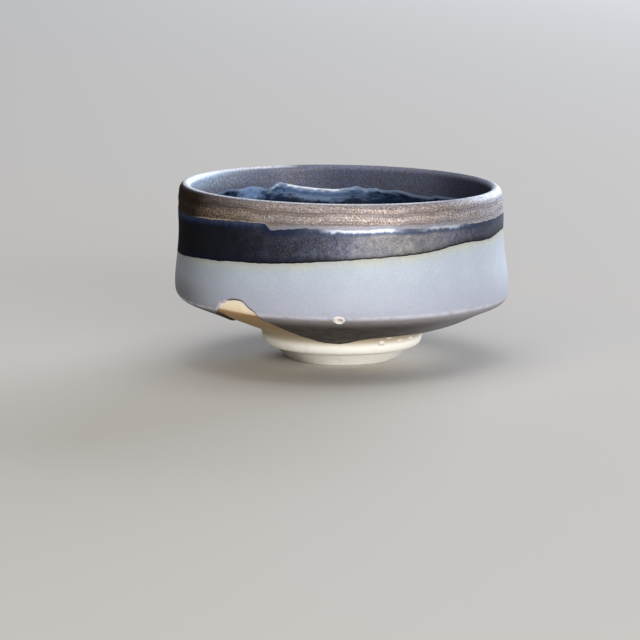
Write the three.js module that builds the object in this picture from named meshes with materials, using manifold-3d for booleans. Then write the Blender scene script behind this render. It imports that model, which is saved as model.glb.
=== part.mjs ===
// A hand-thrown stoneware sake cup: one clay body on a turned foot, the fired glaze coats that cover it,
// a burst glaze bubble on its keel and the drops of glaze that ran down to its foot.
// Millimetres, +Z up. The origin is the middle of the foot, on the surface that the cup stands on.
// Angles go round the cup in degrees: 0 faces -Y, where the potter's finger mark is, and 90 faces +X.
import * as THREE from "three";
import { mergeVertices } from "three/addons/utils/BufferGeometryUtils.js";
import Module from "manifold-3d";

// Foot, all of it bare clay. The step has a short upright side, and its lower edge is rounded off below that.
const footRadius = 12.85;
const footRingWidth = 3.4;
const footRecess = 2.2;
const recessFillet = 1.6;
const footEase = 0.3;
const stepRadius = 18.5;
const stepOverhang = 0.5;
const stepBottom = 3.1;
const stepTop = 5.7;
const stepSide = 0.7;
const coveReach = 1.9;

// Outside of the bowl, on the clay
const bellyRadius = 38.1;
const keelHeight = 14.6;
const keelRounding = 3.2;
const keelFlare = 0.15;
const bellySwell = 0.1;
const bellyTension = 0.3;
const waistInset = 1.08;
const waistPinch = 0.38;
const waistTension = 0.45;
const rimHeight = 39.8;
const rimDepth = 6.8;
const rimTaper = 0.13;
const rimThickness = 1.9;
const rimDrop = 0.53;
const rimShift = 0.36;
const lipShoulder = 2.6;
const lipInside = 0.9;

// Inside of the bowl, on the clay
const floorThickness = 5.6;
const floorFlat = 14;
const turnInset = 8.15;
const turnRise = 1.65;
const turnSweep = 5;
const wallTension = 0.4;

// Glaze coats
const glazeGap = 0.1;
const paleThickness = 0.35;
const darkThickness = 0.35;
const rimGlazeThickness = 0.35;
const wellThickness = 0.4;
const edgeRoll = 0.5;
const rolledShare = 0.4;
const stationSpacing = 0.05;

// Burst bubble on the keel, and the drops just above the step of the foot. Half sizes go along the rim, up
// the wall and out of it.
const bubbleAngle = -1.4;
const bubbleAboveKeel = 0.35;
const bubbleSize = [1.5, 1.15, 0.7];
const dropSink = 0.25;
const drops = [
  { name: "foot_drip_1", angle: 28.8, above: 0.1, size: [0.95, 0.65, 0.5] },
  { name: "foot_drip_2", angle: 33, above: 1.4, size: [0.8, 0.35, 0.3] },
  { name: "foot_drip_3", angle: 46, above: 0.2, size: [1.25, 0.5, 0.45] },
  { name: "foot_drip_4", angle: 57, above: 0.35, size: [1, 0.45, 0.4] },
];

// Fineness of the facets
const facetsAround = 56;
const facetsOfRunLine = 108;
const facetsOfBubble = 20;
const facetsOfDrop = [18, 10];
const curveSteps = 4;
const cornerMerge = 1e-4;

// Where the glazes meet, as [angle, height] points. The three lines near the rim are measured down from it.
// The pale coat's lower line is measured up from the step of the foot: it leaves the finger mark bare at -38
// and runs almost to the step at -4.
const bronzeLinePoints = [
  [-150, -5.6], [-95, -5.9], [-65, -5.6], [-46, -5], [-30, -4.6], [-24, -5.9], [-10, -5.2], [16, -5.1],
  [60, -5.4], [120, -5.6], [165, -5.3],
];
const darkLinePoints = [
  [-135, -13.8], [-90, -15], [-57, -14.2], [-32, -13.4], [-6, -12.2], [14, -11], [34, -10.4], [49, -9.5],
  [63, -9.6], [80, -8.9], [120, -9.2], [180, -11.8],
];
const wellLinePoints = [
  [-176, -5.1], [-165, -4.4], [-155, -3.3], [-149, -4.7], [-142, -3.8], [-126, -4.3], [-70, -4.1], [0, -4.7],
  [90, -5], [138, -5.2], [145, -5.7], [158, -4.9], [174, -4.2],
];
const runLinePoints = [
  [-130, 3], [-80, 3.6], [-62, 5.2], [-53, 7.3], [-48.5, 9.1], [-45.4, 10.8], [-42, 12], [-38, 12.35],
  [-35, 12.2], [-31, 10.35], [-28.6, 9.1], [-26.2, 5.3], [-23.6, 3.4], [-19.5, 2.1], [-10, 0.8], [-4, 0.65],
  [3, 0.9], [12, 1.9], [26, 2.8], [38, 3.2], [110, 3], [180, 3.3],
];

const wasm = await Module();
wasm.setup();

// Profile of the clay, as (radius, height): under the foot, up the outside, over the lip and down inside
const footInnerRadius = footRadius - footRingWidth;
const waistRadius = bellyRadius - waistInset;
const waistHeight = rimHeight - rimDepth;
const lipRadius = waistRadius - rimTaper;
const bellyHeight = keelHeight + keelRounding;
const keelCorner = new THREE.Vector2(bellyRadius + keelFlare, keelHeight);
const coveEnd = new THREE.Vector2(stepRadius + coveReach, stepTop + coveReach);
const undersideSlope = (keelCorner.y - coveEnd.y) / (keelCorner.x - coveEnd.x);
const keelStart = keelCorner.clone().add(coveEnd.clone().sub(keelCorner).setLength(keelRounding));

function underfootProfile() {
  const path = new THREE.Path();
  path.moveTo(0, footRecess);
  path.lineTo(footInnerRadius - recessFillet, footRecess);
  path.quadraticCurveTo(footInnerRadius, footRecess, footInnerRadius, footEase);
  path.lineTo(footInnerRadius + footEase, 0);
  return path.getPoints(curveSteps);
}

function outsideProfile() {
  const wallRise = waistHeight - bellyHeight;
  const stepRounding = stepTop - stepSide - stepBottom;
  const stepLedge = stepRadius - stepRounding;
  const path = new THREE.Path();
  path.moveTo(footRadius - footEase, 0);
  path.lineTo(footRadius, footEase);
  path.lineTo(stepLedge - stepOverhang, stepBottom);
  path.lineTo(stepLedge, stepBottom);
  path.quadraticCurveTo(stepRadius, stepBottom, stepRadius, stepBottom + stepRounding);
  path.lineTo(stepRadius, stepTop);
  path.quadraticCurveTo(stepRadius, coveEnd.y - undersideSlope * coveReach, coveEnd.x, coveEnd.y);
  path.lineTo(keelStart.x, keelStart.y);
  path.quadraticCurveTo(keelCorner.x, keelCorner.y, bellyRadius, bellyHeight);
  path.bezierCurveTo(
    bellyRadius + bellySwell, bellyHeight + bellyTension * wallRise,
    waistRadius - waistPinch, waistHeight - waistTension * wallRise,
    waistRadius, waistHeight,
  );
  path.lineTo(lipRadius, rimHeight - lipShoulder);
  return path.getPoints(curveSteps);
}

function insideProfile() {
  const mouthRadius = lipRadius - rimThickness;
  const wallTop = rimHeight - lipInside;
  const turn = new THREE.Vector2(bellyRadius - turnInset, keelHeight + turnRise);
  const floorHeight = footRecess + floorThickness;
  const lipCrown = rimHeight + (lipShoulder + lipInside) / 6;
  const path = new THREE.Path();
  path.moveTo(lipRadius, rimHeight - lipShoulder);
  path.bezierCurveTo(lipRadius, lipCrown, mouthRadius, lipCrown, mouthRadius, wallTop);
  path.bezierCurveTo(
    mouthRadius, wallTop - wallTension * (wallTop - turn.y),
    turn.x + turnSweep, turn.y + turnSweep,
    turn.x, turn.y,
  );
  path.bezierCurveTo(turn.x - turnSweep, turn.y - turnSweep, floorFlat, floorHeight, 0, floorHeight);
  return path.getPoints(curveSteps);
}

// The skin is the part of the profile that glaze can lie on, with the length along it at each point
const outside = outsideProfile();
const inside = insideProfile();
const skin = [...outside, ...inside.slice(1)];
const skinLength = [0];
for (let i = 1; i < skin.length; i += 1) {
  skinLength.push(skinLength[i - 1] + skin[i].distanceTo(skin[i - 1]));
}
const crest = skin.reduce((best, point, i) => (point.y > skin[best].y ? i : best), 0);

// Direction out of the clay on the stretch of skin that starts at a point
function stretchNormal(i) {
  const along = skin[i + 1].clone().sub(skin[i]).normalize();
  return new THREE.Vector2(along.y, -along.x);
}

// Point of the profile at a length along the skin, moved out of the clay. At a corner it moves along the
// bisector, so that the moved stretches stay parallel to the clay.
function skinPoint(length, out) {
  const last = skin.length - 1;
  let i = 0;
  while (i < last - 1 && skinLength[i + 1] <= length) {
    i += 1;
  }
  const share = (length - skinLength[i]) / (skinLength[i + 1] - skinLength[i]);
  const point = skin[i].clone().lerp(skin[i + 1], share);
  const normal = stretchNormal(i);
  if (share === 0 && i > 0) {
    const bisector = normal.clone().add(stretchNormal(i - 1)).normalize();
    return point.addScaledVector(bisector, out / bisector.dot(normal));
  }
  if (share === 1) {
    return point.add(new THREE.Vector2(0, out));
  }
  return point.addScaledVector(normal, out);
}

// Length along the skin where the outside or the inside has a height
function lengthAtHeight(height, isInside) {
  const first = isInside ? crest : 0;
  const end = isInside ? skin.length - 1 : crest;
  for (let i = first; i < end; i += 1) {
    const low = Math.min(skin[i].y, skin[i + 1].y);
    const high = Math.max(skin[i].y, skin[i + 1].y);
    if (height > low && height <= high) {
      const share = (height - skin[i].y) / (skin[i + 1].y - skin[i].y);
      return THREE.MathUtils.lerp(skinLength[i], skinLength[i + 1], share);
    }
  }
  throw new Error(`No skin at height ${height}`);
}

// Smooth closed line round the cup through its points: gives the height at an angle
function glazeLine(points, level) {
  const count = points.length;
  const knot = (i) => {
    const turns = Math.floor(i / count);
    const [angle, height] = points[i - turns * count];
    return { angle: angle + 360 * turns, height: level + height };
  };
  const slope = (i) => (knot(i + 1).height - knot(i - 1).height) / (knot(i + 1).angle - knot(i - 1).angle);
  return (angle) => {
    const wrapped = points[0][0] + THREE.MathUtils.euclideanModulo(angle - points[0][0], 360);
    let i = 0;
    while (knot(i + 1).angle <= wrapped) {
      i += 1;
    }
    const span = knot(i + 1).angle - knot(i).angle;
    const t = (wrapped - knot(i).angle) / span;
    const fromStart = (1 + 2 * t) * (1 - t) ** 2 * knot(i).height + t * (1 - t) ** 2 * span * slope(i);
    const fromEnd = t ** 2 * (3 - 2 * t) * knot(i + 1).height - t ** 2 * (1 - t) * span * slope(i + 1);
    return fromStart + fromEnd;
  };
}

const bronzeLine = glazeLine(bronzeLinePoints, rimHeight);
const darkLine = glazeLine(darkLinePoints, rimHeight);
const wellLine = glazeLine(wellLinePoints, rimHeight);
const runLine = glazeLine(runLinePoints, stepTop);

// Surface through one closed slice at each angle. A slice point on the axis is shared by all the slices.
function loft(sliceAt, facets) {
  const positions = [];
  const corners = [];
  for (let i = 0; i < facets; i += 1) {
    const angle = THREE.MathUtils.degToRad((360 * i) / facets);
    const slice = sliceAt((360 * i) / facets);
    const next = ((i + 1) % facets) * slice.length;
    const here = i * slice.length;
    slice.forEach((point, j) => {
      const k = (j + 1) % slice.length;
      positions.push(point.x * Math.sin(angle), -point.x * Math.cos(angle), point.y);
      corners.push(here + j, next + k, next + j, here + j, here + k, next + k);
    });
  }
  const geometry = new THREE.BufferGeometry();
  geometry.setAttribute("position", new THREE.Float32BufferAttribute(positions, 3));
  geometry.setIndex(corners);
  return closed(geometry);
}

// The same surface with shared corners, and without the flat triangles at a pole
function closed(geometry) {
  geometry.deleteAttribute("normal");
  geometry.deleteAttribute("uv");
  const merged = mergeVertices(geometry, cornerMerge);
  const index = merged.index.array;
  const kept = [];
  for (let i = 0; i < index.length; i += 3) {
    const [a, b, c] = index.slice(i, i + 3);
    if (a !== b && b !== c && c !== a) {
      kept.push(a, b, c);
    }
  }
  merged.setIndex(kept);
  return merged;
}

function solid(geometry) {
  const shape = closed(geometry);
  const vertProperties = new Float32Array(shape.attributes.position.array);
  const triVerts = new Uint32Array(shape.index.array);
  return new wasm.Manifold(new wasm.Mesh({ numProp: 3, vertProperties, triVerts }));
}

function surface(manifold) {
  const { vertProperties, triVerts } = manifold.getMesh();
  const geometry = new THREE.BufferGeometry();
  geometry.setAttribute("position", new THREE.BufferAttribute(vertProperties, 3));
  geometry.setIndex(new THREE.BufferAttribute(triVerts, 1));
  return geometry;
}

function revolve(points) {
  return new THREE.LatheGeometry(points, facetsAround).rotateX(Math.PI / 2);
}

// A coat lies on the skin between two glaze lines, given as lengths along the skin at an angle. Its slices
// keep the corners of the clay that lie between the lines and crowd the others at the lines, so that every
// slice has as many points. A line's edge is rolled: the coat is thinner there.
function glazeCoat(startAt, endAt, thickness, rolled) {
  const angles = Array.from({ length: facetsAround }, (_, i) => (360 * i) / facetsAround);
  const lowest = Math.min(...angles.map(startAt));
  const highest = Math.max(...angles.map(endAt));
  const corners = skinLength.filter((length) => length > lowest && length < highest);
  return loft((angle) => {
    const start = startAt(angle);
    const end = endAt(angle);
    const startRoll = rolled.start ? edgeRoll : 0;
    const endRoll = rolled.end ? edgeRoll : 0;
    const stations = corners.map((length, i) => {
      const least = start + startRoll + (i + 1) * stationSpacing;
      const most = end - endRoll - (corners.length - i) * stationSpacing;
      return Math.min(Math.max(length, least), most);
    });
    const lengths = [start, ...(rolled.start ? [start + edgeRoll] : []), ...stations];
    lengths.push(...(rolled.end ? [end - edgeRoll] : []), end);
    const under = lengths.map((length) => skinPoint(length, glazeGap));
    const over = lengths.map((length, i) => {
      const isEdge = (i === 0 && rolled.start) || (i === lengths.length - 1 && rolled.end);
      return skinPoint(length, glazeGap + (isEdge ? rolledShare : 1) * thickness);
    });
    return [...under, ...over.reverse()];
  }, facetsAround);
}

const outsideAt = (line, shift) => (angle) => lengthAtHeight(line(angle), false) + shift;
const insideAt = (line, shift) => (angle) => lengthAtHeight(line(angle), true) + shift;
const halfGap = glazeGap / 2;

function clayBody() {
  return revolve([...underfootProfile(), ...skin]);
}

// The pale coat reaches down to the foot as a full skirt, and the run line then cuts it off
function paleGlazeCoat() {
  const stepLength = lengthAtHeight(stepTop, false);
  const skirt = glazeCoat(() => stepLength, outsideAt(darkLine, -halfGap), paleThickness, { end: true });
  const clear = 2 * bellyRadius;
  const belowRunLine = loft((angle) => [
    new THREE.Vector2(footEase, -footEase),
    new THREE.Vector2(footEase, runLine(angle)),
    new THREE.Vector2(clear, runLine(angle)),
    new THREE.Vector2(clear, -footEase),
  ], facetsOfRunLine);
  return surface(solid(skirt).subtract(solid(belowRunLine)));
}

function darkGlazeBand() {
  const rolled = { start: true, end: true };
  return glazeCoat(outsideAt(darkLine, halfGap), outsideAt(bronzeLine, -halfGap), darkThickness, rolled);
}

function bronzeRimGlaze() {
  const rolled = { start: true, end: true };
  return glazeCoat(outsideAt(bronzeLine, halfGap), insideAt(wellLine, -halfGap), rimGlazeThickness, rolled);
}

function wellGlaze() {
  const floorLength = skinLength[skinLength.length - 1];
  return glazeCoat(insideAt(wellLine, halfGap), () => floorLength, wellThickness, { start: true });
}

// Solid of the outside of the cup, grown out of the clay, to seat what lies on it
function grownOutside(out) {
  const points = skinLength.slice(0, crest + 1).map((length) => skinPoint(length, out));
  const base = new THREE.Vector2(0, points[0].y);
  const top = new THREE.Vector2(0, points[points.length - 1].y);
  return solid(revolve([base, ...points, top]));
}

// Put a small shape, modelled with its own +Z out of the wall, on the outside at an angle and a height
function seat(shape, angle, height, out) {
  const length = lengthAtHeight(height, false);
  const point = skinPoint(length, out);
  const outward = skinPoint(length, out + 1).sub(point).normalize();
  const frame = new THREE.Matrix4().makeBasis(
    new THREE.Vector3(1, 0, 0),
    new THREE.Vector3(0, outward.y, outward.x),
    new THREE.Vector3(0, -outward.x, outward.y),
  );
  frame.setPosition(0, -point.x, point.y);
  const turn = new THREE.Matrix4().makeRotationZ(THREE.MathUtils.degToRad(angle));
  return shape.applyMatrix4(frame.premultiply(turn));
}

// The bubble burst and left a round wall of glaze with a hollow in it. Its profile is 1 wide and 1 high.
function glazeBubble() {
  const crown = 0.62;
  const hollow = 0.55;
  const path = new THREE.Path();
  path.moveTo(0, -1);
  path.lineTo(crown, -1);
  path.lineTo(1, 0);
  path.quadraticCurveTo(1, 1, crown, 1);
  path.quadraticCurveTo(crown / 2, 1, crown / 2, hollow);
  path.lineTo(0, hollow);
  const shape = new THREE.LatheGeometry(path.getPoints(curveSteps), facetsOfBubble).rotateX(Math.PI / 2);
  shape.scale(...bubbleSize);
  const out = glazeGap + paleThickness;
  seat(shape, bubbleAngle, keelHeight + bubbleAboveKeel, out);
  return surface(solid(shape).subtract(grownOutside(out + glazeGap)));
}

function footDrop({ angle, above, size }) {
  const shape = new THREE.SphereGeometry(1, ...facetsOfDrop).scale(...size);
  shape.translate(0, 0, -dropSink * size[2]);
  seat(shape, angle, stepTop + above, glazeGap);
  return surface(solid(shape).subtract(grownOutside(glazeGap)));
}

// The thrown rim isn't level: it drops towards +X and rises towards -X, more so the higher up. Above the keel
// the wall also leans towards -X.
function lean(geometry) {
  const position = geometry.attributes.position;
  for (let i = 0; i < position.count; i += 1) {
    const right = position.getX(i);
    const height = position.getZ(i);
    const rise = Math.max((height - keelHeight) / (rimHeight - keelHeight), 0);
    position.setX(i, right - rimShift * rise);
    position.setZ(i, height - rimDrop * (right / waistRadius) * (height / rimHeight));
  }
  geometry.computeVertexNormals();
  return geometry;
}

const cup = new THREE.Group();

function addPiece(name, geometry, color, roughness, metalness = 0) {
  const material = new THREE.MeshStandardMaterial({ color, roughness, metalness });
  const mesh = new THREE.Mesh(lean(geometry), material);
  mesh.name = name;
  cup.add(mesh);
}

addPiece("clay_body", clayBody(), "#ecdfc4", 0.85);
addPiece("pale_glaze_coat", paleGlazeCoat(), "#b6bdcc", 0.5);
addPiece("dark_glaze_band", darkGlazeBand(), "#2c3147", 0.4, 0.2);
addPiece("bronze_rim_glaze", bronzeRimGlaze(), "#8b7a6c", 0.5, 0.4);
addPiece("well_glaze", wellGlaze(), "#182a4a", 0.15);
addPiece("glaze_bubble", glazeBubble(), "#d4d2d0", 0.3);
drops.forEach((drop) => addPiece(drop.name, footDrop(drop), "#e9e6da", 0.3));

export default cup;
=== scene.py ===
# %% [markdown]
# # A hand-thrown sake cup
# The real cup is one thrown and turned piece of stoneware clay. It was dipped in a pale glaze and in a dark
# one, its rim and bowl were glazed again, and the fire left beads, halos and a few drops. The frame holds
# plain solids of these pieces. This lesson makes each one again as a fine surface and gives it its finish.
# Lengths are in millimetres. Angles go round the cup in degrees: 0 faces the camera (-Y), 90 faces +X.

# %% Load the fixed frame
import math

import bpy
import numpy as np
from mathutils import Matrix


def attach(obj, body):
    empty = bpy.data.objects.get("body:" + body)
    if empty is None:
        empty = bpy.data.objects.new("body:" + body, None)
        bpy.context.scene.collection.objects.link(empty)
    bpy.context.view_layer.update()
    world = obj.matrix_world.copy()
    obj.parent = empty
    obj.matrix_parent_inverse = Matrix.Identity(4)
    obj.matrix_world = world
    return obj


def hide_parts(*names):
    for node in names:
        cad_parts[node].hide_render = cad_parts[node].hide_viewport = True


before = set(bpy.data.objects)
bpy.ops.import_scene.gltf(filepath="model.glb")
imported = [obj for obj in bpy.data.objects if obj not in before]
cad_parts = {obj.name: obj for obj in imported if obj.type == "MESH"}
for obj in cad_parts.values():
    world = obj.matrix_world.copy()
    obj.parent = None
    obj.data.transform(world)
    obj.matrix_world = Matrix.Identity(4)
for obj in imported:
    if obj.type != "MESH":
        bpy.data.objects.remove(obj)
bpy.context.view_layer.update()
MM = 0.001

# %% [markdown]
# ## Camera
# The photograph was taken from just above the table through a long lens: the mouth is a flat ellipse and the
# sides hardly converge. A long lens far away gives that, where a short lens close by would bow the rim.

# %% Camera
picture_width = 640
focal_pixels = 3300
camera_place = (-5.07, -753.8, 136.3)
camera_pitch = 9.63
sensor_width = 36

lens = bpy.data.cameras.new("photo_camera")
lens.sensor_width = sensor_width
lens.lens = focal_pixels * sensor_width / picture_width
camera = bpy.data.objects.new("photo_camera", lens)
camera.location = [c * MM for c in camera_place]
camera.rotation_euler = (math.radians(90 - camera_pitch), 0, 0)
bpy.context.collection.objects.link(camera)
bpy.context.scene.camera = camera
bpy.context.scene.view_settings.view_transform = "Standard"
print(f"camera: {lens.lens:.0f} mm lens, looking {camera_pitch} degrees down")

# %% [markdown]
# ## Helpers for materials
# Colours are written as sRGB hex values, the way a paint program shows them, and Blender's nodes want linear
# light, so one function converts them. Another fills the sockets of a node with values or links. A third adds
# a node, sets its properties, fills its sockets and gives its output, so that a material reads as a list of
# what it is made of.

# %% Colour and node helpers
def linear(hex_code):
    """Linear RGBA of an sRGB hex colour: the sRGB curve undone for each of the three channels."""
    shown = np.array([int(hex_code[i : i + 2], 16) / 255 for i in (1, 3, 5)])
    light = np.where(shown <= 0.04045, shown / 12.92, ((shown + 0.055) / 1.055) ** 2.4)
    return (*light.tolist(), 1.0)


def fill(tree, node, sockets):
    """Each named socket of a node gets a value, or a link from another node's output."""
    for socket, value in sockets.items():
        if isinstance(value, bpy.types.NodeSocket):
            tree.links.new(value, node.inputs[socket])
        else:
            node.inputs[socket].default_value = value


def add_node(tree, kind, sockets=None, output=0, **properties):
    """One output of a new node of a kind, with its properties set and its sockets filled."""
    node = tree.nodes.new(kind)
    for name, value in properties.items():
        setattr(node, name, value)
    fill(tree, node, sockets or {})
    return node.outputs[output]


def new_material(name):
    """An empty material, with its node tree and its principled shader."""
    material = bpy.data.materials.new(name)
    material.use_nodes = True
    return material, material.node_tree, material.node_tree.nodes["Principled BSDF"]


# %% [markdown]
# ## Floor and light
# The cup stands on a plain pale floor of matt paint. Two low lamps do what two windows do. The one in front,
# a little to the right, models the wall and reaches in to the foot, and the bluish one behind on the right
# shines on the lip and on the left of the bowl. A weak lamp high on the left keeps that side of the wall from
# going black, and a soft lamp overhead lights the floor.

# %% Floor
floor_reach = 6000
floor_colour = "#c9c4bb"

corner = floor_reach * MM
floor_mesh = bpy.data.meshes.new("floor")
floor_corners = [(-corner, -corner, 0), (corner, -corner, 0), (corner, corner, 0), (-corner, corner, 0)]
floor_mesh.from_pydata(floor_corners, [], [(0, 1, 2, 3)])
floor = bpy.data.objects.new("floor", floor_mesh)
bpy.context.collection.objects.link(floor)
floor_paint, floor_tree, floor_shader = new_material("pale_floor_paint")
matt_paint = {"Base Color": linear(floor_colour), "Roughness": 0.9, "Specular IOR Level": 0.1}
fill(floor_tree, floor_shader, matt_paint)
floor_mesh.materials.append(floor_paint)
print(f"floor: {2 * corner:.0f} m square of pale paint")

# %% Lamps and sky
sky_colour = "#f4f2ee"
sky_strength = 0.08


def add_lamp(name, angle, elevation, distance, size, power, colour):
    """A soft oblong lamp aimed at the cup. Its place is the point of a sphere at an angle round the cup, an
    elevation and a distance."""
    round_cup, up = math.radians(angle), math.radians(elevation)
    lamp_data = bpy.data.lights.new(name, "AREA")
    lamp_data.shape = "RECTANGLE"
    lamp_data.size, lamp_data.size_y = (side * MM for side in size)
    lamp_data.energy = power
    lamp_data.color = linear(colour)[:3]
    lamp = bpy.data.objects.new(name, lamp_data)
    flat = distance * MM * math.cos(up)
    lamp.location = (flat * math.sin(round_cup), -flat * math.cos(round_cup), distance * MM * math.sin(up))
    lamp.rotation_euler = (math.pi / 2 - up, 0, round_cup)
    bpy.context.collection.objects.link(lamp)


add_lamp("front_lamp", angle=20, elevation=11, distance=1400, size=(1300, 520), power=19.5, colour="#fcfcff")
add_lamp("left_lamp", angle=-42, elevation=45, distance=1500, size=(1200, 1200), power=4, colour="#fff9f0")
add_lamp("back_lamp", angle=150, elevation=14, distance=2600, size=(2000, 1100), power=85, colour="#dfeaff")
add_lamp("top_lamp", angle=150, elevation=80, distance=1600, size=(1600, 1600), power=14, colour="#f6f8ff")
sky = bpy.data.worlds.new("grey_sky")
sky.use_nodes = True
sky_light = {"Color": linear(sky_colour), "Strength": sky_strength}
fill(sky.node_tree, sky.node_tree.nodes["Background"], sky_light)
bpy.context.scene.world = sky
print("light: a front lamp, a weak one on the left, a bluish back lamp, a top lamp and a dim sky")

# %% [markdown]
# ## The profile of the clay
# A thrown cup is a profile turned on the wheel. The profile starts on the axis under the foot, goes out over
# the foot ring, the undercut step and the cove, along the underside to the keel, up the wall, over the lip
# and down into the bowl. Lines and Bezier curves give it, and a bell-curve mean over a tenth of a millimetre
# then rounds its corners, as a sponge does. Blender's Spin tool could turn it, but a table of the profile
# also says where the glazes lie, so the cup is worked out as a function instead.

# %% Sizes of the clay
foot_radius = 12.85
foot_ring_width = 3.4
foot_recess = 2.2
recess_fillet = 1.6
foot_ease = 0.3
step_radius = 18.5
step_overhang = 0.5
step_bottom = 3.1
step_top = 5.7
step_side = 0.55
step_bevel = 0.1
cove_reach = 1.9
belly_radius = 38.1
belly_swell = 0.1
belly_tension = 0.3
keel_height = 14.6
keel_rounding = 2.1
keel_flare = 0.1
waist_inset = 1.08
waist_pinch = 0.38
waist_tension = 0.45
rim_height = 39.8
rim_depth = 6.8
rim_taper = 0.13
rim_thickness = 1.9
lip_shoulder = 2.6
lip_inside = 0.9
lip_crown_rise = 0.5
floor_thickness = 5.6
floor_flat = 14.0
turn_inset = 8.15
turn_rise = 1.65
turn_sweep = 5.0
wall_tension = 0.4

waist_radius = belly_radius - waist_inset
lip_radius = waist_radius - rim_taper
mouth_radius = lip_radius - rim_thickness
bowl_floor = foot_recess + floor_thickness
print(f"clay: {2 * belly_radius:.1f} mm across the belly, {rim_height:.1f} mm high")

# %% Corners of the profile, as (radius, height)
foot_inner = foot_radius - foot_ring_width
recess_edge = (foot_inner - recess_fillet, foot_recess)
ring_inner = (foot_inner, foot_ease)
ring_inner_floor = (foot_inner + foot_ease, 0)
ring_outer_floor = (foot_radius - foot_ease, 0)
ring_outer = (foot_radius, foot_ease)
step_edge = step_top - step_side
step_ledge = step_radius - (step_edge - step_bottom)
under_step = (step_ledge - step_overhang, step_bottom)
step_lower = (step_ledge, step_bottom)
step_pull = (step_radius - step_bevel, step_bottom + step_bevel)
step_middle = (step_radius, step_edge)
step_upper = (step_radius, step_top)
keel_corner = np.array((belly_radius + keel_flare, keel_height))
cove_end = np.array((step_radius + cove_reach, step_top + cove_reach))
underside = (keel_corner - cove_end) / np.linalg.norm(keel_corner - cove_end)
cove_corner = (step_radius, cove_end[1] - cove_reach * underside[1] / underside[0])
keel_start = keel_corner - keel_rounding * underside
belly_height = keel_height + keel_rounding
waist_height = rim_height - rim_depth
wall_rise = waist_height - belly_height
belly = (belly_radius, belly_height)
belly_pull = (belly_radius + belly_swell, belly_height + belly_tension * wall_rise)
waist_pull = (waist_radius - waist_pinch, waist_height - waist_tension * wall_rise)
waist = (waist_radius, waist_height)
lip_crown = rim_height + lip_crown_rise
lip_outer = (lip_radius, rim_height - lip_shoulder)
lip_inner = (mouth_radius, rim_height - lip_inside)
turn = np.array((belly_radius - turn_inset, keel_height + turn_rise))
wall_pull = (mouth_radius, lip_inner[1] - wall_tension * (lip_inner[1] - turn[1]))
print(f"underside climbs {math.degrees(math.atan2(underside[1], underside[0])):.1f} degrees to the keel")


# %% Stretches of the profile
def bezier(*corners, steps=80):
    """A Bezier curve: each corner weighted by its Bernstein polynomial of a share from 0 to 1. Two corners
    give a line."""
    share = np.linspace(0, 1, steps)[:, None]
    degree = len(corners) - 1
    weights = [math.comb(degree, k) * share**k * (1 - share) ** (degree - k) for k in range(degree + 1)]
    return sum(weight * np.array(corner, float) for weight, corner in zip(weights, corners))


stretches = [
    bezier((0, foot_recess), recess_edge),
    bezier(recess_edge, (foot_inner, foot_recess), ring_inner),
    bezier(ring_inner, ring_inner_floor),
    bezier(ring_inner_floor, ring_outer_floor),
    bezier(ring_outer_floor, ring_outer),
    bezier(ring_outer, under_step),
    bezier(under_step, step_lower),
    bezier(step_lower, step_pull, step_middle),
    bezier(step_middle, step_upper),
    bezier(step_upper, cove_corner, cove_end),
    bezier(cove_end, keel_start),
    bezier(keel_start, keel_corner, belly),
    bezier(belly, belly_pull, waist_pull, waist),
    bezier(waist, lip_outer),
    bezier(lip_outer, (lip_radius, lip_crown), (mouth_radius, lip_crown), lip_inner),
    bezier(lip_inner, wall_pull, turn + turn_sweep, turn),
    bezier(turn, turn - turn_sweep, (floor_flat, bowl_floor), (0, bowl_floor)),
]
print(f"{len(stretches)} stretches from the recess under the foot to the middle of the bowl")

# %% One even, softened table of the profile
table_step = 0.02
sponge_reach = 6


def soften(values, reach):
    """Mean of each value and its neighbours, weighted by a bell curve whose width is a count of table steps,
    out to four widths."""
    tail = 4 * reach
    bell = np.exp(-0.5 * (np.arange(-tail, tail + 1) / reach) ** 2)
    padded = np.pad(values, tail, mode="reflect", reflect_type="odd")
    return np.convolve(padded, bell / bell.sum(), mode="valid")


outline = np.vstack([stretches[0]] + [stretch[1:] for stretch in stretches[1:]])
walked = np.concatenate([[0], np.cumsum(np.hypot(*np.diff(outline, axis=0).T))])
even = np.arange(0, walked[-1], table_step)
skin_radius = soften(np.interp(even, walked, outline[:, 0]), sponge_reach)
skin_height = soften(np.interp(even, walked, outline[:, 1]), sponge_reach)
skin_length = np.concatenate([[0], np.cumsum(np.hypot(np.diff(skin_radius), np.diff(skin_height)))])
along_radius, along_height = np.gradient(skin_radius, skin_length), np.gradient(skin_height, skin_length)
normal_radius, normal_height = along_height, -along_radius
crest = int(np.argmax(skin_height))
outside_start = int(np.argmax(skin_height > step_bottom + foot_ease))
underside_end = skin_length[np.argmax(skin_height > keel_height)]
print(f"profile: {skin_length[-1]:.1f} mm long, radius {skin_radius.max():.2f} mm")

# %% [markdown]
# ## A point anywhere on the cup
# Every piece below is this one function on a grid: an angle round the cup, a length along the profile and a
# distance out of the clay. The thrown rim isn't level: it drops to the right, the wall leans to the left, and
# the underside sags a little on the right.

# %% The cup as a function
rim_drop = 0.53
rim_shift = 0.36
sag_depth = 0.7
sag_radius = 27.5
sag_width = 5.0


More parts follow.
